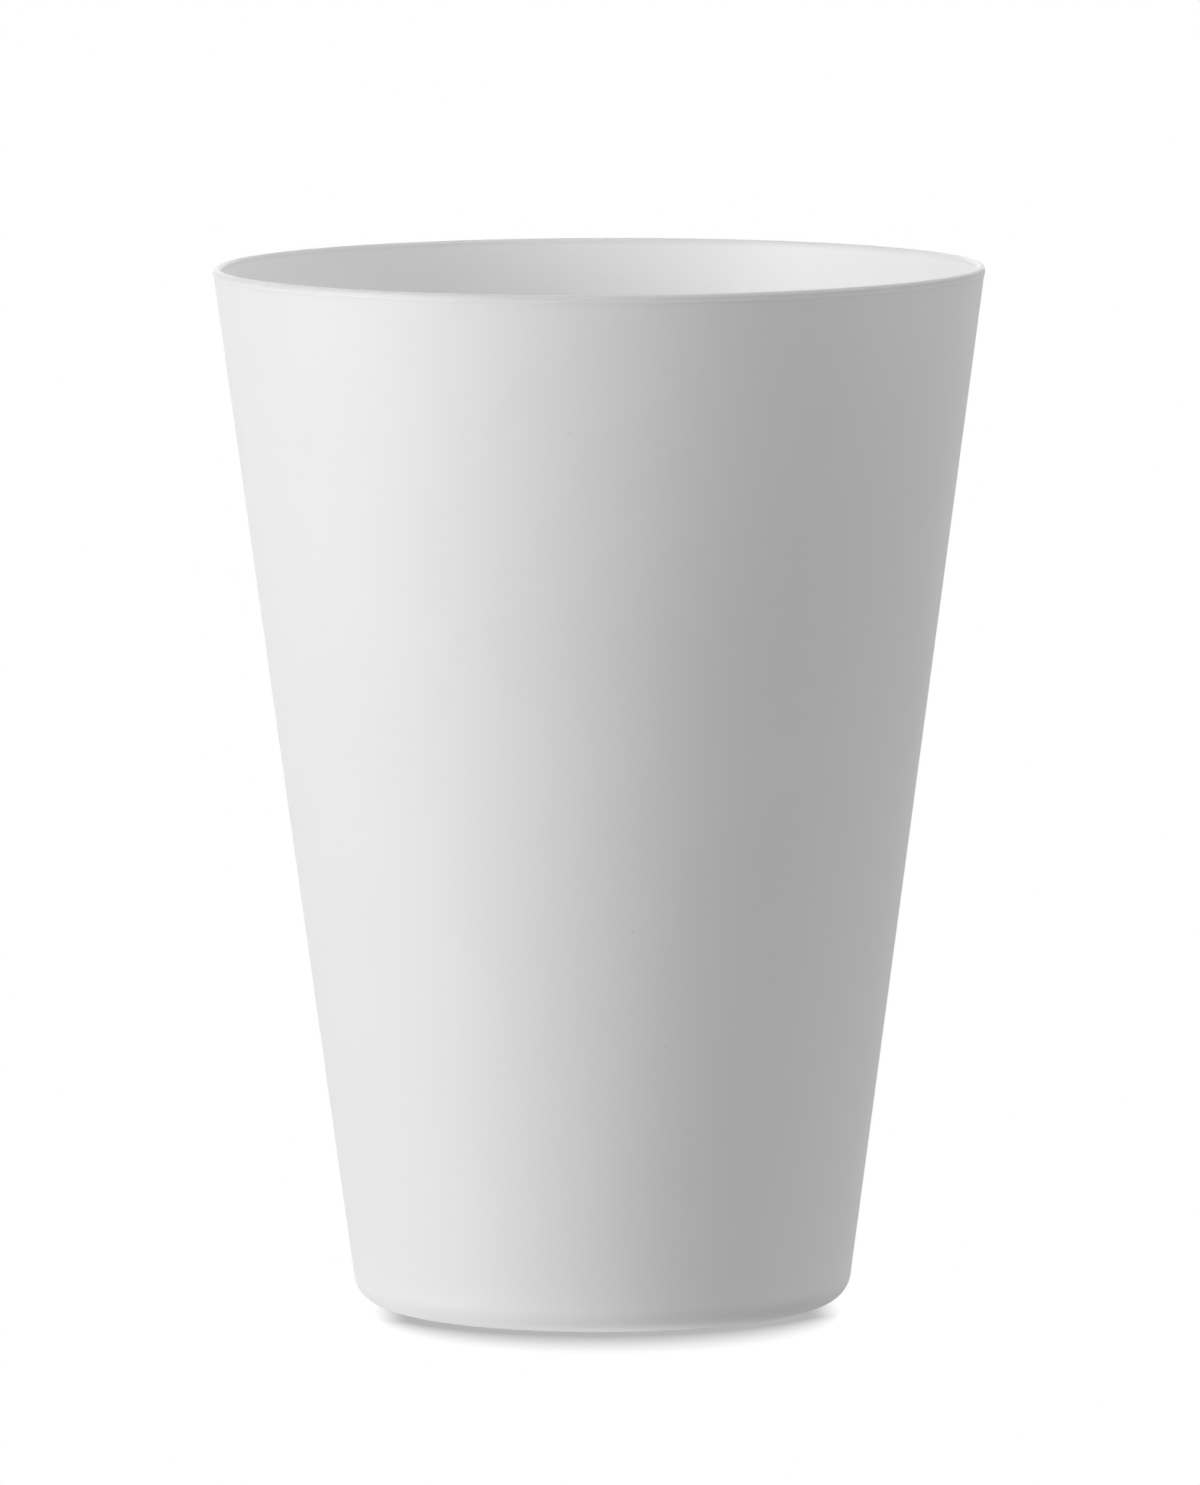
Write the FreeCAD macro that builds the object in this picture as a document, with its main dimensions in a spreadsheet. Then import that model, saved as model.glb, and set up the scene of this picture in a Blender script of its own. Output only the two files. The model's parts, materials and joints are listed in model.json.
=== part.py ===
import FreeCAD, Part
import math
import os

import Sketcher

# A plain drinking cup, injection moulded in one piece of white polypropylene.
# It is a body of revolution: a straight conical wall of even thickness that ends in
# a full-round lip, a flat floor, and a narrow foot ring around a shallow recess.
# Just below the lip a fine step runs round the wall, where the mould parts.
# Millimetres, +Z up. The origin is on the cup's axis, at the level of the table.

SIZES = [
    # Overall sizes.
    ("rim_diameter", 80.0, "outside of the lip, at its widest"),
    ("cup_height", 108.2, "table to the top of the lip"),
    ("base_diameter", 51.2, "where the line of the outer wall would meet the table"),
    # Wall and floor.
    ("wall_thickness", 0.8, "square to the wall; the lip is its full round"),
    ("lip_land_height", 0.45, "upright land from the lip's round down to the parting step"),
    ("floor_thickness", 1.0, "over the recess"),
    ("base_corner_radius", 3.0, "outside, from the wall into the foot ring"),
    ("floor_corner_radius", 2.0, "inside, from the wall into the floor"),
    # Foot ring, and the recess inside it.
    ("foot_ring_width", 1.6, "the flat that touches the table"),
    ("foot_edge_radius", 0.3, "from the flat into the recess"),
    ("recess_depth", 1.0, "table up to the underside of the floor"),
    ("recess_draft", 30.0, "lean of the recess's side from upright, in degrees"),
    ("recess_root_radius", 0.4, "from the recess's side into the underside"),
    # The nub left where the plastic entered the mould.
    ("gate_diameter", 2.0, "where it leaves the underside"),
    ("gate_tip_diameter", 1.4, "at its end"),
    ("gate_height", 0.35, "how far it hangs below the underside"),
]

# Ends of a line or an arc in a sketch, and the sketch's own axes and origin.
START, END, CENTRE = 1, 2, 3
HORIZONTAL_AXIS, VERTICAL_AXIS = -1, -2
SKETCH_ORIGIN = (HORIZONTAL_AXIS, START)

# The stretches of the cup's half section that run smoothly into each other. The outer
# wall, the parting step and the lip land meet at sharp corners instead.
SMOOTH_JOINTS = [
    ("underside", END, "recess_root", END),
    ("recess_root", START, "recess_side", END),
    ("recess_side", START, "foot_edge", START),
    ("foot_edge", END, "foot", START),
    ("foot", END, "base_corner", START),
    ("base_corner", END, "outer_wall", START),
    ("lip_land", END, "lip", START),
    ("lip", END, "inner_wall", START),
    ("inner_wall", END, "floor_corner", END),
    ("floor_corner", START, "floor", START),
]


def make_sheet(doc):
    """Puts each size on a row of its own: its name, its value and its meaning."""
    sheet = doc.addObject("Spreadsheet::Sheet", "sizes")
    for row, (name, value, meaning) in enumerate(SIZES, start=1):
        sheet.set("A%d" % row, name)
        sheet.set("B%d" % row, str(value))
        sheet.set("C%d" % row, meaning)
        sheet.setAlias("B%d" % row, name)
    doc.recompute()
    return sheet


def point(r, z):
    """A point of the half section: r is its distance from the axis, z its height."""
    return FreeCAD.Vector(r, z, 0)


def line(start, end):
    return Part.LineSegment(start, end)


def arc(centre, radius, start_angle, end_angle):
    """An anticlockwise arc, with its angles in radians from the +r direction."""
    circle = Part.Circle(centre, FreeCAD.Vector(0, 0, 1), radius)
    return Part.ArcOfCircle(circle, start_angle, end_angle)


def wall_outline(size):
    """The outside from the base corner up, the lip, and the inside down to the axis."""
    lip_radius = size.wall_thickness / 2
    lip_centre = point(size.rim_diameter / 2 - lip_radius, size.cup_height - lip_radius)
    wall_foot = point(size.base_diameter / 2, 0)

    # The outer wall lies on the line from its foot that just touches the lip's round.
    to_lip = lip_centre - wall_foot
    lean = math.atan2(to_lip.x, to_lip.y) + math.asin(lip_radius / to_lip.Length)
    outward = point(math.cos(lean), -math.sin(lean))
    lip_touch = lip_centre + outward * lip_radius
    lip_inside = lip_centre - outward * lip_radius

    # It stops level with the foot of the upright land, which stands proud of it.
    land_top = lip_centre + point(lip_radius, 0)
    land_foot = land_top - point(0, size.lip_land_height)
    wall_top_r = lip_touch.x - (lip_touch.y - land_foot.y) * math.tan(lean)
    wall_top = point(wall_top_r, land_foot.y)

    base_radius = size.base_corner_radius
    base_r = wall_foot.x + base_radius * (math.tan(lean) - 1 / math.cos(lean))
    base_centre = point(base_r, base_radius)

    floor_top = size.recess_depth + size.floor_thickness
    floor_radius = size.floor_corner_radius
    corner_z = floor_top + floor_radius
    inside_r = lip_inside.x - (lip_inside.y - corner_z) * math.tan(lean)
    floor_centre = point(inside_r - floor_radius / math.cos(lean), corner_z)

    return {
        "base_corner": arc(base_centre, base_radius, -math.pi / 2, -lean),
        "outer_wall": line(base_centre + outward * base_radius, wall_top),
        "parting_step": line(wall_top, land_foot),
        "lip_land": line(land_foot, land_top),
        "lip": arc(lip_centre, lip_radius, 0, math.pi - lean),
        "inner_wall": line(lip_inside, floor_centre + outward * floor_radius),
        "floor_corner": arc(floor_centre, floor_radius, -math.pi / 2, -lean),
        "floor": line(point(floor_centre.x, floor_top), point(0, floor_top)),
        "axis": line(point(0, floor_top), point(0, size.recess_depth)),
    }


def foot_outline(size, base_corner):
    """The underside from the axis outwards, and the foot ring up to the base corner."""
    draft = math.radians(size.recess_draft)
    into_ring = point(math.cos(draft), math.sin(draft))
    foot_outer = point(base_corner.Center.x, 0)
    foot_inner = foot_outer - point(size.foot_ring_width, 0)

    edge_radius = size.foot_edge_radius
    edge_centre = foot_inner + point(0, edge_radius)
    side_start = edge_centre - into_ring * edge_radius

    root_radius = size.recess_root_radius
    side_end_z = size.recess_depth - root_radius + root_radius * math.sin(draft)
    side_rise = side_end_z - side_start.y
    side_end = point(side_start.x - side_rise * math.tan(draft), side_end_z)
    root_centre = side_end - into_ring * root_radius

    depth = size.recess_depth
    return {
        "underside": line(point(0, depth), point(root_centre.x, depth)),
        "recess_root": arc(root_centre, root_radius, draft, math.pi / 2),
        "recess_side": line(side_start, side_end),
        "foot_edge": arc(edge_centre, edge_radius, draft - math.pi, -math.pi / 2),
        "foot": line(foot_inner, foot_outer),
    }


def new_sketch(body, name):
    """An empty sketch on the body's own XZ plane, where half sections are drawn."""
    plane = [f for f in body.Origin.OriginFeatures if f.Role == "XZ_Plane"][0]
    sketch = body.newObject("Sketcher::SketchObject", name)
    sketch.AttachmentSupport = (plane, [""])
    sketch.MapMode = "FlatFace"
    return sketch


def constrain(sketch, *parts):
    return sketch.addConstraint(Sketcher.Constraint(*parts))


def dimension(sketch, name, formula, *parts):
    """Adds a dimension with a name of its own, which follows a formula over the sheet."""
    value = sketch.evalExpression(formula)
    if isinstance(value, FreeCAD.Units.Quantity):
        value = value.getValueAs("rad").Value
    index = constrain(sketch, *parts, value)
    sketch.renameConstraint(index, name)
    sketch.setExpression("Constraints." + name, formula)


def hold_shape(sketch, part, wall_foot):
    """How the stretches of the half section lie to each other and to the axis."""
    for first, first_end, second, second_end in SMOOTH_JOINTS:
        constrain(sketch, "Tangent", part[first], first_end, part[second], second_end)
    constrain(sketch, "Coincident", part["outer_wall"], END, part["parting_step"], START)
    constrain(sketch, "Coincident", part["parting_step"], END, part["lip_land"], START)
    constrain(sketch, "Coincident", part["floor"], END, part["axis"], START)
    constrain(sketch, "Coincident", part["axis"], END, part["underside"], START)
    constrain(sketch, "PointOnObject", part["axis"], START, VERTICAL_AXIS)
    constrain(sketch, "PointOnObject", part["axis"], END, VERTICAL_AXIS)
    constrain(sketch, "Horizontal", part["underside"])
    constrain(sketch, "Horizontal", part["floor"])
    constrain(sketch, "Horizontal", part["parting_step"])
    constrain(sketch, "Vertical", part["lip_land"])
    constrain(sketch, "PointOnObject", part["foot"], START, HORIZONTAL_AXIS)
    constrain(sketch, "PointOnObject", part["foot"], END, HORIZONTAL_AXIS)
    constrain(sketch, "Parallel", part["outer_wall"], part["inner_wall"])
    constrain(sketch, "Tangent", part["outer_wall"], part["lip"])
    constrain(sketch, "PointOnObject", wall_foot, START, HORIZONTAL_AXIS)
    constrain(sketch, "PointOnObject", wall_foot, START, part["outer_wall"])


def hold_sizes(sketch, part, wall_foot):
    """Ties every size of the half section to the sheet."""
    dimension(sketch, "lip_radius", "sizes.wall_thickness / 2", "Radius", part["lip"])
    dimension(sketch, "lip_reach", "(sizes.rim_diameter - sizes.wall_thickness) / 2",
              "DistanceX", *SKETCH_ORIGIN, part["lip"], CENTRE)
    dimension(sketch, "lip_level", "sizes.cup_height - sizes.wall_thickness / 2",
              "DistanceY", *SKETCH_ORIGIN, part["lip"], CENTRE)
    dimension(sketch, "land_height", "sizes.lip_land_height",
              "DistanceY", part["lip_land"], START, part["lip_land"], END)
    dimension(sketch, "wall_foot", "sizes.base_diameter / 2",
              "DistanceX", *SKETCH_ORIGIN, wall_foot, START)
    dimension(sketch, "floor_level", "sizes.recess_depth + sizes.floor_thickness",
              "DistanceY", *SKETCH_ORIGIN, part["floor"], END)
    dimension(sketch, "underside_level", "sizes.recess_depth",
              "DistanceY", *SKETCH_ORIGIN, part["axis"], END)
    dimension(sketch, "foot_width", "sizes.foot_ring_width",
              "DistanceX", part["foot"], START, part["foot"], END)
    dimension(sketch, "recess_side_angle", "90 deg + sizes.recess_draft * 1 deg",
              "Angle", part["recess_side"])
    for name, size_name in (
            ("base_corner", "base_corner_radius"),
            ("floor_corner", "floor_corner_radius"),
            ("foot_edge", "foot_edge_radius"),
            ("recess_root", "recess_root_radius")):
        dimension(sketch, name, "sizes." + size_name, "Radius", part[name])


def draw_half_section(body, size):
    """The cup's half section as one sketch, with nothing in it left loose."""
    outline = wall_outline(size)
    outline.update(foot_outline(size, outline["base_corner"]))
    sketch = new_sketch(body, "half_section")
    part = dict(zip(outline, sketch.addGeometry(list(outline.values()))))
    wall_foot = sketch.addGeometry(Part.Point(point(size.base_diameter / 2, 0)), True)
    hold_shape(sketch, part, wall_foot)
    hold_sizes(sketch, part, wall_foot)
    if sketch.solve() != 0 or not sketch.FullyConstrained:
        raise RuntimeError("the half section isn't fully held")
    return sketch


def add_gate_mark(body):
    """The small nub at the middle of the underside, which stays clear of the table."""
    plane = [f for f in body.Origin.OriginFeatures if f.Role == "XY_Plane"][0]
    gate = body.newObject("PartDesign::AdditiveCone", "gate_mark")
    gate.AttachmentSupport = (plane, [""])
    gate.MapMode = "FlatFace"
    gate.setExpression("AttachmentOffset.Base.z", "sizes.recess_depth - sizes.gate_height")
    gate.setExpression("Radius1", "sizes.gate_tip_diameter / 2")
    gate.setExpression("Radius2", "sizes.gate_diameter / 2")
    gate.setExpression("Height", "sizes.gate_height")


def make_cup(doc, size):
    """The whole cup, one solid: its half section turned once round the axis."""
    body = doc.addObject("PartDesign::Body", "cup")
    body.Label = "cup"
    body.Placement = FreeCAD.Placement()
    sketch = draw_half_section(body, size)
    moulding = body.newObject("PartDesign::Revolution", "moulding")
    moulding.Profile = sketch
    moulding.ReferenceAxis = (sketch, ["V_Axis"])
    moulding.Angle = 360
    sketch.Visibility = False
    add_gate_mark(body)
    return body


def check_document(doc):
    for item in doc.Objects:
        if "Invalid" in item.State or "Error" in item.State:
            raise RuntimeError(item.Label + " failed to build")


def export(sub_part):
    shape = sub_part.Shape
    if shape.isNull() or not shape.isValid() or len(shape.Solids) != 1:
        raise RuntimeError(sub_part.Label + " is not one valid solid")
    shape.exportStep("parts/%s.step" % sub_part.Label)
    print("%s: one solid of %.1f mm3" % (sub_part.Label, shape.Volume))


def main():
    doc = FreeCAD.newDocument("reusable_cup")
    sheet = make_sheet(doc)
    cup = make_cup(doc, sheet)
    doc.recompute()
    check_document(doc)
    os.makedirs("parts", exist_ok=True)
    export(cup)


main()
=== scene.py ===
import json
import math
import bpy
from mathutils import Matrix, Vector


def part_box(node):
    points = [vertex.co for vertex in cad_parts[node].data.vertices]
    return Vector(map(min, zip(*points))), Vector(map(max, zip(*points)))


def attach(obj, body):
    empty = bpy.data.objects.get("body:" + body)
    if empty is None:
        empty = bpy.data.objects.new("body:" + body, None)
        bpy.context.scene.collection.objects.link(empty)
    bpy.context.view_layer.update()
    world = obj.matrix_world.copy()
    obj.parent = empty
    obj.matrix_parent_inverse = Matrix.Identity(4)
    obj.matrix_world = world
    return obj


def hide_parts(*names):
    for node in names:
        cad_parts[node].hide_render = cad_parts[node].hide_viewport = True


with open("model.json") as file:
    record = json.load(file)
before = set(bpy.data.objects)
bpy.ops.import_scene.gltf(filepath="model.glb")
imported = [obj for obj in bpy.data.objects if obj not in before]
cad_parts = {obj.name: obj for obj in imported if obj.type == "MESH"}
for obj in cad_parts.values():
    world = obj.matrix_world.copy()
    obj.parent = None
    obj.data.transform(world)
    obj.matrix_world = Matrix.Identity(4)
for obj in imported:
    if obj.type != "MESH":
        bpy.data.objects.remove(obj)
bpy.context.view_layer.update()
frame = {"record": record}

from types import SimpleNamespace

import bpy
from bpy.props import (
    FloatProperty, FloatVectorProperty, IntProperty, PointerProperty,
)
from mathutils import Vector

bl_info = {
    "name": "Reusable Cup",
    "version": (1, 0, 0),
    "blender": (4, 5, 0),
    "location": "3D View > Sidebar > Cup",
    "description": "Moulds a plain conical drinking cup and sets it in a small studio",
    "category": "Add Mesh",
}

# Everything is in metres. The cup stands on z = 0 with its axis on Z. The camera looks
# along +Y, so -X is on its left.
CAD_LOW, CAD_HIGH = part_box("cup")
# The middle of the cup's height on its axis, from which the lamps and camera are placed.
MIDDLE = Vector((0, 0, (CAD_HIGH.z + CAD_LOW.z) / 2))
WHITE = (1.0, 1.0, 1.0)
WARM = (1.05, 0.99, 0.96)
IOR_PLASTIC = 1.49
SENSOR_WIDTH = 36.0
SHADOW_SAMPLES = 32
FLOOR_HALF_WIDTH = 1.5
# The floor lies this far below the foot, so that the two flats don't lie in one plane.
FLOOR_GAP = 0.00002
# The doubles where the turned section meets itself lie closer than this.
WELD = 1e-6
# How many walls wide the change is from the lip's painted shade on its outside to the share of it on
# its inside.
LIP_TURN = 1.5
# The share of the floor's thickness by which its rings reach past its top face.
RING_MARGIN = 0.2
SLOT = "cup_plastic"
SLOT_COLOUR = next(
    m["base_color"] for m in frame["record"]["materials"] if m["slot"] == SLOT)


# ---------------------------------------------------------------- settings

class CupSizes(bpy.types.PropertyGroup):
    """The sizes of the moulding's half section, and how finely it is divided."""

    rim_diameter: FloatProperty(
        name="Rim diameter", description="Outside of the lip, at its widest",
        default=CAD_HIGH.x - CAD_LOW.x, unit="LENGTH", precision=4)
    cup_height: FloatProperty(
        name="Cup height", description="Table to the top of the lip",
        default=CAD_HIGH.z - CAD_LOW.z, unit="LENGTH", precision=4)
    base_diameter: FloatProperty(
        name="Base diameter", description="Where the line of the outer wall meets the table",
        default=0.0512, unit="LENGTH", precision=4)
    wall_thickness: FloatProperty(
        name="Wall thickness", description="Square to the wall; the lip is its full round",
        default=0.0008, unit="LENGTH", precision=4)
    lip_land_height: FloatProperty(
        name="Lip land height", description="Upright land from the lip's round to the step",
        default=0.00045, unit="LENGTH", precision=5)
    floor_thickness: FloatProperty(
        name="Floor thickness", description="Thickness of the floor over the recess",
        default=0.0010, unit="LENGTH", precision=4)
    base_corner_radius: FloatProperty(
        name="Base corner radius", description="Outside, from the wall into the foot ring",
        default=0.0030, unit="LENGTH", precision=4)
    floor_corner_radius: FloatProperty(
        name="Floor corner radius", description="Inside, from the wall into the floor",
        default=0.0020, unit="LENGTH", precision=4)
    foot_ring_width: FloatProperty(
        name="Foot ring width", description="The flat that touches the table",
        default=0.0016, unit="LENGTH", precision=4)
    foot_edge_radius: FloatProperty(
        name="Foot edge radius", description="From the flat into the recess",
        default=0.0003, unit="LENGTH", precision=4)
    recess_depth: FloatProperty(
        name="Recess depth", description="Table up to the underside of the floor",
        default=0.0010, unit="LENGTH", precision=4)
    recess_draft: FloatProperty(
        name="Recess draft", description="Lean of the recess's side from upright",
        default=math.radians(30), subtype="ANGLE")
    recess_root_radius: FloatProperty(
        name="Recess root radius", description="From the recess's side into the underside",
        default=0.0004, unit="LENGTH", precision=4)
    gate_diameter: FloatProperty(
        name="Gate mark diameter", description="The nub's width where it leaves the underside",
        default=0.0020, unit="LENGTH", precision=4)
    gate_tip_diameter: FloatProperty(
        name="Gate mark tip", description="The nub's width at its end",
        default=0.0014, unit="LENGTH", precision=4)
    gate_height: FloatProperty(
        name="Gate mark height", description="How far the nub hangs below the underside",
        default=0.00035, unit="LENGTH", precision=5)
    gate_edge_radius: FloatProperty(
        name="Gate mark edge", description="Rounding of the nub's edge and root",
        default=0.00008, unit="LENGTH", precision=5)
    ring_spacing: FloatProperty(
        name="Ring spacing", description="Longest step along a straight stretch",
        default=0.0015, unit="LENGTH", precision=4)
    steps_round: IntProperty(
        name="Steps round", description="Steps in one turn round the axis",
        default=256, min=16)
    sharp_from: FloatProperty(
        name="Sharp from", description="Edges that turn by more than this stay sharp",
        default=math.radians(30), subtype="ANGLE")


class CupFinish(bpy.types.PropertyGroup):
    """The look of the moulded plastic."""

    plastic_colour: FloatVectorProperty(
        name="Plastic colour", description="White polypropylene",
        default=SLOT_COLOUR, size=3, min=0, max=1, subtype="COLOR")
    roughness: FloatProperty(
        name="Roughness", description="Satin of the mould's matt surface",
        default=0.52, min=0, max=1)
    light_spread: FloatProperty(
        name="Light spread", description="How far light travels in the plastic between scatters",
        default=0.0010, unit="LENGTH", precision=5)
    cloud_size: FloatProperty(
        name="Cloud size", description="Width of the faint clouds in colour and gloss",
        default=0.014, unit="LENGTH")
    cloud_depth: FloatProperty(
        name="Cloud depth", description="Share by which the clouds change the colour",
        default=0.012, min=0, max=1)
    cloud_gloss: FloatProperty(
        name="Cloud gloss", description="How much the clouds change the roughness",
        default=0.06, min=0, max=1)
    flow_width: FloatProperty(
        name="Flow line width", description="Width of the upright lines where the plastic ran",
        default=0.0022, unit="LENGTH", precision=4)
    flow_stretch: FloatProperty(
        name="Flow line stretch", description="How many times longer than wide the lines are",
        default=22.0, min=1)
    flow_gloss: FloatProperty(
        name="Flow line gloss", description="How much the flow lines change the roughness",
        default=0.05, min=0, max=1)
    # Painted shade: the lip's outer edge is drawn darker in colour so that the lip looks less lit, and
    # its inside gets a share of that painted shade.
    lip_shade: FloatProperty(
        name="Lip shade", description="Share of the colour that the lip's outer edge loses",
        default=0.28, min=0, max=1)
    lip_shade_inside: FloatProperty(
        name="Lip shade inside", description="Share of the lip shade that its inside gets",
        default=0.5, min=0, max=1)
    grain_size: FloatProperty(
        name="Grain size", description="Width of the grain that the mould leaves",
        default=0.00030, unit="LENGTH", precision=5)
    grain_height: FloatProperty(
        name="Grain height", description="Height of the grain",
        default=0.0000030, unit="LENGTH", precision=7)
    wave_size: FloatProperty(
        name="Wave size", description="Width of the thin wall's slight unevenness",
        default=0.018, unit="LENGTH")
    wave_height: FloatProperty(
        name="Wave height", description="Height of the unevenness",
        default=0.000040, unit="LENGTH", precision=6)
    turning_pitch: FloatProperty(
        name="Turning pitch", description="From ring to ring on the floor, where the mould was turned",
        default=0.00045, unit="LENGTH", precision=5)
    turning_height: FloatProperty(
        name="Turning height", description="Height of those rings",
        default=0.0000040, unit="LENGTH", precision=7)
    speck_spacing: FloatProperty(
        name="Speck spacing", description="Mean distance between the rare specks in the plastic",
        default=0.008, unit="LENGTH")
    speck_size: FloatProperty(
        name="Speck size", description="Widest a speck can be",
        default=0.00036, unit="LENGTH", precision=5)
    speck_depth: FloatProperty(
        name="Speck depth", description="Share of the colour that a speck takes away",
        default=0.12, min=0, max=1)


class StudioSettings(bpy.types.PropertyGroup):
    """The lamps, the surroundings and the camera."""

    ambient: FloatProperty(
        name="Ambient light", description="Brightness of the surroundings as a light source",
        default=0.25, min=0)
    ambient_colour: FloatVectorProperty(
        name="Ambient colour", description="A little cooler than the lamps",
        default=(0.95, 1.0, 1.05), size=3, min=0, max=2, subtype="COLOR")
    floor_glow: FloatProperty(
        name="Floor glow", description="Brightness of the floor near the cup as a light source",
        default=0.34, min=0)
    glow_reach: FloatProperty(
        name="Glow reach", description="How far from the axis that light is half gone",
        default=0.33, unit="LENGTH")
    glow_fade: FloatProperty(
        name="Glow fade", description="Width over which it goes there",
        default=0.132, unit="LENGTH")
    foot_glow: FloatProperty(
        name="Foot glow", description="Added to that light near the foot, but not on its right",
        default=0.60, min=0)
    foot_glow_lean: FloatProperty(
        name="Foot glow lean", description="Where it halves, as x over the distance from the axis",
        default=0.45, min=-1, max=1)
    foot_glow_lean_width: FloatProperty(
        name="Foot glow lean width", description="How gradually it goes there, as the same ratio",
        default=1.1, min=0)
    foot_glow_start: FloatProperty(
        name="Foot glow start", description="How far from the axis it is half risen",
        default=0.0240, unit="LENGTH", precision=4)
    foot_glow_start_width: FloatProperty(
        name="Foot glow start width", description="Width over which it rises there",
        default=0.00096, unit="LENGTH", precision=5)
    foot_glow_reach: FloatProperty(
        name="Foot glow reach", description="How far from the axis it is half gone again",
        default=0.0255, unit="LENGTH", precision=4)
    foot_glow_fade: FloatProperty(
        name="Foot glow fade", description="Width over which it goes there",
        default=0.00765, unit="LENGTH", precision=5)
    shadow_tone: FloatProperty(
        name="Shadow tone", description="Brightness of the shadow where it is darkest",
        default=0.46, min=0, max=1)
    shadow_reach: FloatProperty(
        name="Shadow reach", description="How far the shadow reaches in front of the cup",
        default=0.012, unit="LENGTH")
    back_reach: FloatProperty(
        name="Back reach", description="How far the shadow reaches behind the cup",
        default=0.005, unit="LENGTH", precision=4)
    shadow_half_width: FloatProperty(
        name="Shadow half width", description="From the middle of the shadow to its side",
        default=0.0226, unit="LENGTH", precision=4)
    shadow_side: FloatProperty(
        name="Shadow side", description="Width over which the shadow's side fades out",
        default=0.0040, unit="LENGTH", precision=4)
    shadow_turn: FloatProperty(
        name="Shadow turn", description="Where the shadow is longest, to the right of the front",
        default=math.radians(3), subtype="ANGLE")
    shadow_narrowing: FloatProperty(
        name="Shadow narrowing", description="How quickly the shadow gets shorter to the sides",
        default=2.3, min=0)
    camera_distance: FloatProperty(
        name="Camera distance", description="From the middle of the cup to the camera",
        default=1.3582, unit="LENGTH")
    camera_slide: FloatProperty(
        name="Camera slide", description="How far the camera stands to the right of the axis",
        default=-0.00007, unit="LENGTH", precision=5)
    camera_elevation: FloatProperty(
        name="Camera elevation", description="The camera's height over the middle, as an angle",
        default=math.radians(6.5716), subtype="ANGLE")
    camera_pitch: FloatProperty(
        name="Camera pitch", description="How far down the camera looks",
        default=math.radians(6.3888), subtype="ANGLE")
    camera_roll: FloatProperty(
        name="Camera roll", description="Turn of the camera about the line it looks along",
        default=math.radians(-0.1933), subtype="ANGLE")
    lens: FloatProperty(
        name="Lens", description="Focal length for a 36 mm sensor along the view's height",
        default=316.16)


# ---------------------------------------------------------------- node helpers

def wire(tree, value, socket):
    """Feeds a socket with a Number, with another node's output or with a plain value."""
    if isinstance(value, Number):
        value = value.socket
    if isinstance(value, bpy.types.NodeSocket):
        tree.links.new(value, socket)
    else:
        socket.default_value = value


def add_node(tree, kind, inputs=(), **settings):
    """Adds a node with its own settings, and feeds inputs, a dict of socket to value."""
    node = tree.nodes.new(kind)
    for name, setting in settings.items():
        setattr(node, name, setting)
    for name, value in dict(inputs).items():
        wire(tree, value, node.inputs[name])
    return node


class Number:
    """A number that flows through a node tree. Sums done on it add Math nodes."""

    def __init__(self, tree, socket):
        self.tree = tree
        self.socket = socket

    def work_out(self, operation, *values):
        node = add_node(self.tree, "ShaderNodeMath", enumerate(values), operation=operation)
        return Number(self.tree, node.outputs[0])

    def __add__(self, other):
        return self.work_out("ADD", self, other)

    def __radd__(self, other):
        return self.work_out("ADD", other, self)

    def __sub__(self, other):
        return self.work_out("SUBTRACT", self, other)

    def __rsub__(self, other):
        return self.work_out("SUBTRACT", other, self)

    def __mul__(self, other):
        return self.work_out("MULTIPLY", self, other)

    def __truediv__(self, other):
        return self.work_out("DIVIDE", self, other)

    def __pow__(self, other):
        return self.work_out("POWER", self, other)

    def __abs__(self):
        return self.work_out("ABSOLUTE", self)

    def above(self, other):
        """1 where this number is the greater, and 0 elsewhere."""
        return self.work_out("GREATER_THAN", self, other)

    def below(self, other):
        """1 where this number is the smaller, and 0 elsewhere."""
        return self.work_out("LESS_THAN", self, other)

    def at_least(self, other):
        """The greater of the two."""
        return self.work_out("MAXIMUM", self, other)

    def whole(self):
        return self.work_out("FLOOR", self)

    def root(self):
        return self.work_out("SQRT", self)

    def sine(self):
        return self.work_out("SINE", self)

    def cosine(self):
        return self.work_out("COSINE", self)

    def tangent(self):
        return self.work_out("TANGENT", self)

    def arcsine(self):
        return self.work_out("ARCSINE", self)

    def direction(self, other):
        """The angle whose tangent is this number over the other."""
        return self.work_out("ARCTAN2", self, other)


# ---------------------------------------------------------------- the moulding

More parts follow.
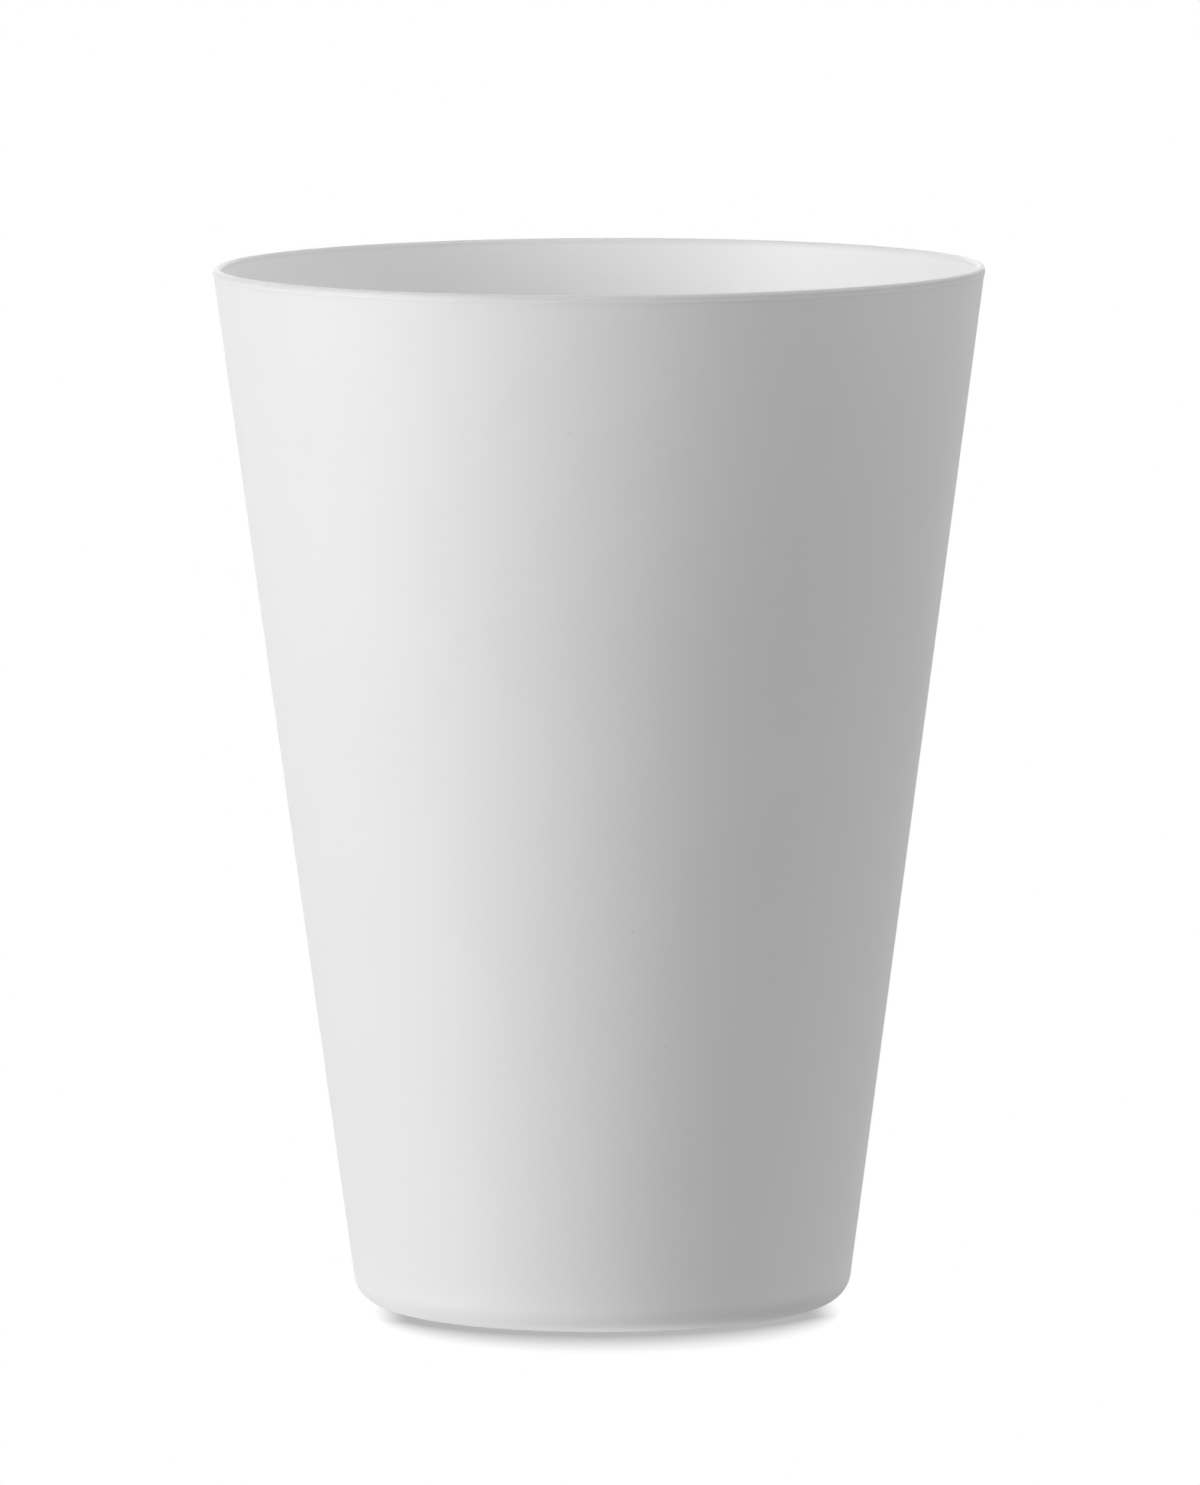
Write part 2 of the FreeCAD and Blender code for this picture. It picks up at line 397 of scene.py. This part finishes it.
def half_section(size):
    """The sharp corners of the half section, each as (r, z, rounding, steps).

    They run from the axis on the underside, over the foot, up the outer wall, over the
    lip and down the inside to the axis again. The lip's two corners are both rounded
    by half the wall, which makes its full round.
    """
    lip_radius = size.wall_thickness / 2
    wall_foot = size.base_diameter / 2
    land_r = size.rim_diameter / 2
    lip_reach = land_r - lip_radius - wall_foot
    lip_z = size.cup_height - lip_radius
    to_lip = (lip_reach * lip_reach + lip_z * lip_z).root()
    lean = lip_reach.direction(lip_z) + (lip_radius / to_lip).arcsine()
    slope = lean.tangent()
    inside_foot = wall_foot - size.wall_thickness / lean.cosine()
    land_z = lip_z - size.lip_land_height
    floor_top = size.recess_depth + size.floor_thickness

    foot_outer = wall_foot - size.base_corner_radius * (math.pi / 4 - lean / 2).tangent()
    foot_inner = foot_outer - size.foot_ring_width
    edge_setback = size.foot_edge_radius * (math.pi / 4 - size.recess_draft / 2).tangent()
    recess_foot = foot_inner - edge_setback
    recess_root = recess_foot - size.recess_depth * size.recess_draft.tangent()
    gate_level = size.recess_depth - size.gate_height

    return [
        (0.0, gate_level, 0.0, 1),
        (size.gate_tip_diameter / 2, gate_level, size.gate_edge_radius, 6),
        (size.gate_diameter / 2, size.recess_depth, size.gate_edge_radius, 6),
        (recess_root, size.recess_depth, size.recess_root_radius, 8),
        (recess_foot, 0.0, size.foot_edge_radius, 8),
        (wall_foot, 0.0, size.base_corner_radius, 24),
        (wall_foot + slope * land_z, land_z, 0.0, 1),
        (land_r, land_z, 0.0, 1),
        (land_r, size.cup_height, lip_radius, 18),
        (inside_foot + slope * size.cup_height, size.cup_height, lip_radius, 18),
        (inside_foot + slope * floor_top, floor_top, size.floor_corner_radius, 20),
        (0.0, floor_top, 0.0, 1),
    ]


def choose(tree, kind, index, values):
    """One of the values, by the index of the point that asks."""
    node = add_node(tree, "GeometryNodeIndexSwitch", data_type=kind)
    for _ in values[2:]:
        node.index_switch_items.new()
    wire(tree, index, node.inputs[0])
    for value, socket in zip(values, node.inputs[1:]):
        wire(tree, value, socket)
    return node.outputs[0]


def section_curve(tree, corners, rail, spacing):
    """The half section as a curve, rounded at its corners and divided where it is straight.

    It is drawn as a profile for Curve to Mesh, which sets X outwards from the rail and
    Y downwards.
    """
    index = add_node(tree, "GeometryNodeInputIndex").outputs[0]
    radii, heights, roundings, steps = zip(*corners)
    r = Number(tree, choose(tree, "FLOAT", index, radii))
    z = Number(tree, choose(tree, "FLOAT", index, heights))
    place = add_node(tree, "ShaderNodeCombineXYZ", {"X": r - rail, "Y": 0.0 - z})
    points = add_node(
        tree, "GeometryNodePoints",
        {"Count": len(corners), "Position": place.outputs[0]})
    outline = add_node(tree, "GeometryNodePointsToCurves", {"Points": points.outputs[0]})
    rounded = add_node(
        tree, "GeometryNodeFilletCurve",
        {
            "Curve": outline.outputs[0],
            "Count": choose(tree, "INT", index, steps),
            "Radius": choose(tree, "FLOAT", index, roundings),
            "Limit Radius": False,
        },
        mode="POLY")

    position = add_node(tree, "GeometryNodeInputPosition").outputs[0]
    following = Number(tree, index) + 1
    next_position = add_node(
        tree, "GeometryNodeFieldAtIndex", data_type="FLOAT_VECTOR", domain="POINT")
    wire(tree, position, next_position.inputs["Value"])
    wire(tree, following, next_position.inputs["Index"])
    step = add_node(
        tree, "ShaderNodeVectorMath",
        {0: position, 1: next_position.outputs[0]}, operation="DISTANCE")
    cuts = (Number(tree, step.outputs["Value"]) / spacing).whole()
    divided = add_node(
        tree, "GeometryNodeSubdivideCurve",
        {"Curve": rounded.outputs[0], "Cuts": cuts})
    return divided.outputs[0]


def turned_section_tree(sizes):
    """A Geometry Nodes tree that turns the half section once round the axis."""
    tree = bpy.data.node_groups.new("turned_section", "GeometryNodeTree")
    tree.interface.new_socket(name="Geometry", in_out="OUTPUT", socket_type="NodeSocketGeometry")
    sockets = {}
    for name, value in sizes.bl_rna.properties.items():
        if name in ("rna_type", "name"):
            continue
        kind = "NodeSocketInt" if value.type == "INT" else "NodeSocketFloat"
        sockets[name] = tree.interface.new_socket(
            name=value.name, in_out="INPUT", socket_type=kind)
    sockets["plastic"] = tree.interface.new_socket(
        name="Plastic", in_out="INPUT", socket_type="NodeSocketMaterial")
    inputs = add_node(tree, "NodeGroupInput")
    size = SimpleNamespace(**{
        name: Number(tree, inputs.outputs[socket.name]) for name, socket in sockets.items()})

    rail = size.rim_diameter / 2
    section = section_curve(tree, half_section(size), rail, size.ring_spacing)
    circle = add_node(
        tree, "GeometryNodeCurvePrimitiveCircle",
        {"Resolution": size.steps_round, "Radius": rail}, mode="RADIUS")
    turned = add_node(
        tree, "GeometryNodeCurveToMesh",
        {"Curve": circle.outputs["Curve"], "Profile Curve": section})
    closed = add_node(
        tree, "GeometryNodeMergeByDistance",
        {"Geometry": turned.outputs[0], "Distance": WELD})
    outwards = add_node(tree, "GeometryNodeFlipFaces", {"Mesh": closed.outputs[0]})
    smooth = add_node(tree, "GeometryNodeSetShadeSmooth", {"Geometry": outwards.outputs[0]})
    turn = Number(tree, add_node(tree, "GeometryNodeInputMeshEdgeAngle").outputs["Unsigned Angle"])
    crisp = add_node(
        tree, "GeometryNodeSetShadeSmooth",
        {
            "Geometry": smooth.outputs[0],
            "Selection": turn.above(size.sharp_from),
            "Shade Smooth": False,
        },
        domain="EDGE")
    whole = add_node(tree, "GeometryNodeRealizeInstances", {"Geometry": crisp.outputs[0]})
    finished = add_node(
        tree, "GeometryNodeSetMaterial",
        {"Geometry": whole.outputs[0], "Material": size.plastic})
    output = add_node(tree, "NodeGroupOutput")
    wire(tree, finished.outputs[0], output.inputs[0])
    return tree, sockets


def mould_cup(sizes, plastic):
    """The whole cup as one plain mesh."""
    tree, sockets = turned_section_tree(sizes)
    cup = bpy.data.objects.new("moulded_cup", bpy.data.meshes.new("moulded_cup"))
    bpy.context.scene.collection.objects.link(cup)
    modifier = cup.modifiers.new("turned_section", "NODES")
    modifier.node_group = tree
    for name, socket in sockets.items():
        modifier[socket.identifier] = plastic if name == "plastic" else getattr(sizes, name)
    shading = cup.modifiers.new("flat_wall_shading", "WEIGHTED_NORMAL")
    shading.keep_sharp = True
    graph = bpy.context.evaluated_depsgraph_get()
    mesh = bpy.data.meshes.new_from_object(cup.evaluated_get(graph), depsgraph=graph)
    cup.modifiers.clear()
    cup.data = mesh
    return cup


# ---------------------------------------------------------------- materials

def new_material(name):
    material = bpy.data.materials.new(name)
    material.use_nodes = True
    material.node_tree.nodes.clear()
    return material, material.node_tree


def finish_material(tree, shader):
    output = add_node(tree, "ShaderNodeOutputMaterial")
    wire(tree, shader.outputs[0], output.inputs["Surface"])


def fade(tree, value, middle, width):
    """1 below the middle and 0 above it, with a soft change between."""
    node = add_node(
        tree, "ShaderNodeMapRange",
        {
            "Value": value,
            "From Min": middle - width / 2,
            "From Max": middle + width / 2,
            "To Min": 1.0,
            "To Max": 0.0,
        },
        interpolation_type="SMOOTHSTEP")
    return Number(tree, node.outputs["Result"])


def split(tree, place):
    """The x, y and z of a place, and its distance from the axis."""
    parts = add_node(tree, "ShaderNodeSeparateXYZ", {"Vector": place}).outputs
    x, y, z = (Number(tree, part) for part in parts)
    return x, y, z, (x * x + y * y).root()


def clouds(tree, place, width, detail=1.0):
    """Soft random clouds from -1 to 1, about as wide as the width."""
    noise = add_node(tree, "ShaderNodeTexNoise", {
        "Vector": place, "Scale": 1 / width, "Detail": detail})
    return (Number(tree, noise.outputs[0]) - 0.5) * 2.0


def flow_lines(tree, place, finish):
    """Clouds drawn out along the height, from -1 to 1."""
    drawn_out = add_node(tree, "ShaderNodeMapping", {
        "Vector": place, "Scale": (1.0, 1.0, 1 / finish.flow_stretch)})
    return clouds(tree, drawn_out.outputs[0], finish.flow_width, detail=2.0)


def specks(tree, place, finish):
    """1 in the rare dark specks that lie at the surface, and 0 around them."""
    cells = add_node(tree, "ShaderNodeTexVoronoi", {
        "Vector": place, "Scale": 1 / finish.speck_spacing})
    distance = Number(tree, cells.outputs["Distance"]) * finish.speck_spacing
    core = finish.speck_size / 4
    edge = finish.speck_size / 2
    return fade(tree, distance, (core + edge) / 2, edge - core)


def painted_lip_shade_mask(tree, place, finish, sizes):
    """Where the lip's painted shade lies: 0 below the step under the lip's land, and more to the lip's
    top and its outside.
    """
    _, _, z, r = split(tree, place)
    lip_height = sizes.wall_thickness / 2 + sizes.lip_land_height
    lip_middle = (sizes.rim_diameter - sizes.wall_thickness) / 2
    low = fade(tree, z, sizes.cup_height - lip_height / 2, lip_height)
    inside = fade(tree, r, lip_middle, sizes.wall_thickness * LIP_TURN)
    return (1.0 - low) * (1.0 - inside * (1.0 - finish.lip_shade_inside))


def turning_rings(tree, place, finish, sizes):
    """Fine rings round the axis, from -1 to 1, on both faces of the floor only."""
    _, _, z, r = split(tree, place)
    rings = (r * (2 * math.pi / finish.turning_pitch)).sine()
    just_over_floor = sizes.recess_depth + sizes.floor_thickness * (1.0 + RING_MARGIN)
    inside_foot = sizes.base_diameter / 2 - sizes.base_corner_radius - sizes.foot_ring_width
    return rings * z.below(just_over_floor) * r.below(inside_foot)


def plastic_material(finish, sizes):
    """Satin white plastic with the small faults that moulding leaves in it, and a painted shade on the
    lip's outer edge that makes the lip look less lit.
    """
    material, tree = new_material("white_polypropylene")
    place = add_node(tree, "ShaderNodeTexCoord").outputs["Object"]
    cloud = clouds(tree, place, finish.cloud_size, detail=3.0)
    flow = flow_lines(tree, place, finish)

    # The colour's factor: the random clouds and specks of the plastic, less a painted shade on the
    # lip.
    shade = (
        1.0 + cloud * finish.cloud_depth
        - specks(tree, place, finish) * finish.speck_depth
        - painted_lip_shade_mask(tree, place, finish, sizes) * finish.lip_shade)
    colour = add_node(
        tree, "ShaderNodeVectorMath",
        {0: tuple(finish.plastic_colour), "Scale": shade}, operation="SCALE")
    roughness = finish.roughness + cloud * finish.cloud_gloss + flow * finish.flow_gloss
    # The relief is in metres, so the Bump node's distance is 1.
    height = (
        clouds(tree, place, finish.grain_size) * (finish.grain_height / 2)
        + clouds(tree, place, finish.wave_size) * (finish.wave_height / 2)
        + turning_rings(tree, place, finish, sizes) * (finish.turning_height / 2))
    relief = add_node(tree, "ShaderNodeBump", {"Height": height, "Distance": 1.0})

    shader = add_node(tree, "ShaderNodeBsdfPrincipled", {
        "Base Color": colour.outputs[0],
        "Roughness": roughness,
        "Normal": relief.outputs[0],
        "IOR": IOR_PLASTIC,
        "Subsurface Weight": 1.0,
        "Subsurface Radius": (1.0, 1.0, 1.0),
        "Subsurface Scale": finish.light_spread,
    })
    finish_material(tree, shader)
    return material


def any_ray(tree, *kinds):
    """1 for the kinds of ray that are named, and 0 for the rest."""
    path = add_node(tree, "ShaderNodeLightPath").outputs
    found = Number(tree, path[kinds[0]])
    for kind in kinds[1:]:
        found = found.at_least(path[kind])
    return found


def floor_material(studio):
    """Plain white with the cup's soft shadow, which is longest in front of the cup.

    The shadow darkens with how much the cup hides near each place. To the cup, the floor
    is a soft light that the camera doesn't see, and brighter near the foot.
    """
    material, tree = new_material("pale_floor")
    place = add_node(tree, "ShaderNodeTexCoord").outputs["Object"]
    x, y, _, r = split(tree, place)

    turn = studio.shadow_turn
    to_front = (x * math.sin(turn) - y * math.cos(turn)) / r
    narrowed = abs(to_front) ** studio.shadow_narrowing
    longer = studio.shadow_reach - studio.back_reach
    reach = narrowed * (studio.back_reach + to_front.above(0.0) * longer)
    open_sky = add_node(
        tree, "ShaderNodeAmbientOcclusion", {"Distance": reach}, samples=SHADOW_SAMPLES)
    across = abs(x * math.cos(turn) + y * math.sin(turn))
    within = fade(tree, across, studio.shadow_half_width, studio.shadow_side)
    darkest = 1.0 - within * (1.0 - studio.shadow_tone)
    shown = Number(tree, open_sky.outputs["AO"]).at_least(darkest)

    off_right = fade(tree, x / r, studio.foot_glow_lean, studio.foot_glow_lean_width)
    near_foot = fade(tree, r, studio.foot_glow_reach, studio.foot_glow_fade)
    under_foot = fade(tree, r, studio.foot_glow_start, studio.foot_glow_start_width)
    near_cup = fade(tree, r, studio.glow_reach, studio.glow_fade)
    foot_glow = near_foot * (1.0 - under_foot) * off_right * studio.foot_glow
    glow = near_cup * studio.floor_glow + foot_glow
    sees_white = any_ray(tree, "Is Glossy Ray", "Is Transmission Ray")
    unseen = glow + sees_white * (1.0 - glow)
    strength = unseen + (shown - unseen) * any_ray(tree, "Is Camera Ray")
    floor = add_node(tree, "ShaderNodeEmission", {"Strength": strength})
    finish_material(tree, floor)
    return material


# ---------------------------------------------------------------- the studio

def lay_floor(material):
    corners = [(-1, -1), (1, -1), (1, 1), (-1, 1)]
    mesh = bpy.data.meshes.new("floor")
    mesh.from_pydata(
        [(x * FLOOR_HALF_WIDTH, y * FLOOR_HALF_WIDTH, -FLOOR_GAP) for x, y in corners],
        [], [(0, 1, 2, 3)])
    mesh.materials.append(material)
    floor = bpy.data.objects.new("floor", mesh)
    bpy.context.scene.collection.objects.link(floor)


def surround(studio):
    """A white backdrop on every side, which lights the cup less brightly than it looks."""
    world = bpy.data.worlds.new("surroundings")
    world.use_nodes = True
    tree = world.node_tree
    tree.nodes.clear()
    sees_white = any_ray(tree, "Is Camera Ray", "Is Glossy Ray", "Is Transmission Ray")
    # In a Mix node set to colours, input 0 is the factor, 6 and 7 are the colours, and
    # output 2 is the mixed one.
    colour = add_node(
        tree, "ShaderNodeMix",
        {0: sees_white, 6: (*studio.ambient_colour, 1.0), 7: (*WHITE, 1.0)},
        data_type="RGBA")
    backdrop = add_node(tree, "ShaderNodeBackground", {
        "Color": colour.outputs[2],
        "Strength": studio.ambient + sees_white * (1.0 - studio.ambient),
    })
    output = add_node(tree, "ShaderNodeOutputWorld")
    wire(tree, backdrop.outputs[0], output.inputs["Surface"])
    bpy.context.scene.world = world


def away_from_cup(azimuth, elevation):
    """A direction from the cup. Azimuth 0 is to the camera, and 90 degrees to its right."""
    level = math.cos(elevation)
    return Vector((math.sin(azimuth) * level, -math.cos(azimuth) * level, math.sin(elevation)))


def hang_lamp(name, azimuth, elevation, distance, width, height, power, colour=WHITE):
    """A softbox that faces the cup, with its angles in degrees and its power in watts."""
    light = bpy.data.lights.new(name, "AREA")
    light.shape = "RECTANGLE"
    light.size = width
    light.size_y = height
    light.energy = power
    light.color = colour
    away = away_from_cup(math.radians(azimuth), math.radians(elevation))
    lamp = bpy.data.objects.new(name, light)
    lamp.location = MIDDLE + away * distance
    lamp.rotation_euler = away.to_track_quat("Z", "Y").to_euler()
    bpy.context.scene.collection.objects.link(lamp)


def place_camera(studio):
    camera = bpy.data.objects.new("camera", bpy.data.cameras.new("camera"))
    camera.data.sensor_width = SENSOR_WIDTH
    camera.data.lens = studio.lens
    away = away_from_cup(0.0, studio.camera_elevation)
    camera.location = MIDDLE + away * studio.camera_distance
    camera.location.x += studio.camera_slide
    camera.rotation_mode = "XYZ"
    camera.rotation_euler = (math.pi / 2 - studio.camera_pitch, 0, 0)
    camera.rotation_euler.rotate_axis("Z", studio.camera_roll)
    bpy.context.scene.collection.objects.link(camera)
    bpy.context.scene.camera = camera


# ---------------------------------------------------------------- operators

class CUP_OT_mould(bpy.types.Operator):
    """Moulds the cup in one piece and gives it its plastic"""

    bl_idname = "reusable_cup.mould"
    bl_label = "Mould the cup"

    def execute(self, context):
        scene = context.scene
        plastic = plastic_material(scene.cup_finish, scene.cup_sizes)
        cup = mould_cup(scene.cup_sizes, plastic)
        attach(cup, "root")
        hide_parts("cup")
        return {"FINISHED"}


class CUP_OT_studio(bpy.types.Operator):
    """Lays the floor, hangs the lamps and places the camera"""

    bl_idname = "reusable_cup.studio"
    bl_label = "Set up the studio"

    def execute(self, context):
        studio = context.scene.cup_studio
        lay_floor(floor_material(studio))
        surround(studio)
        hang_lamp(
            "key", azimuth=-62, elevation=20, distance=1.2, width=0.6, height=0.6, power=6.75)
        hang_lamp(
            "low_key", azimuth=-62, elevation=2, distance=0.6, width=0.4, height=0.3, power=1.19)
        hang_lamp(
            "side", azimuth=90, elevation=40, distance=1.2, width=0.6, height=0.6, power=3.69,
            colour=WARM)
        hang_lamp(
            "front", azimuth=0, elevation=40, distance=1.2, width=0.6, height=0.6, power=1.56,
            colour=WARM)
        hang_lamp(
            "back", azimuth=180, elevation=15, distance=1.2, width=1.0, height=0.6, power=4.0)
        place_camera(studio)
        context.scene.view_settings.view_transform = "Standard"
        return {"FINISHED"}


class CUP_PT_panel(bpy.types.Panel):
    """The cup's settings, and a button for each step"""

    bl_label = "Reusable Cup"
    bl_space_type = "VIEW_3D"
    bl_region_type = "UI"
    bl_category = "Cup"

    def draw(self, context):
        for operator in (CUP_OT_mould, CUP_OT_studio):
            self.layout.operator(operator.bl_idname)
        for group in (context.scene.cup_sizes, context.scene.cup_finish, context.scene.cup_studio):
            box = self.layout.box()
            for name in group.bl_rna.properties.keys():
                if name not in ("rna_type", "name"):
                    box.prop(group, name)


CLASSES = (CupSizes, CupFinish, StudioSettings, CUP_OT_mould, CUP_OT_studio, CUP_PT_panel)


def register():
    for cls in CLASSES:
        bpy.utils.register_class(cls)
    bpy.types.Scene.cup_sizes = PointerProperty(type=CupSizes)
    bpy.types.Scene.cup_finish = PointerProperty(type=CupFinish)
    bpy.types.Scene.cup_studio = PointerProperty(type=StudioSettings)


def unregister():
    del bpy.types.Scene.cup_studio
    del bpy.types.Scene.cup_finish
    del bpy.types.Scene.cup_sizes
    for cls in reversed(CLASSES):
        bpy.utils.unregister_class(cls)


def main():
    register()
    bpy.ops.reusable_cup.mould()
    bpy.ops.reusable_cup.studio()


if __name__ == "__main__":
    main()
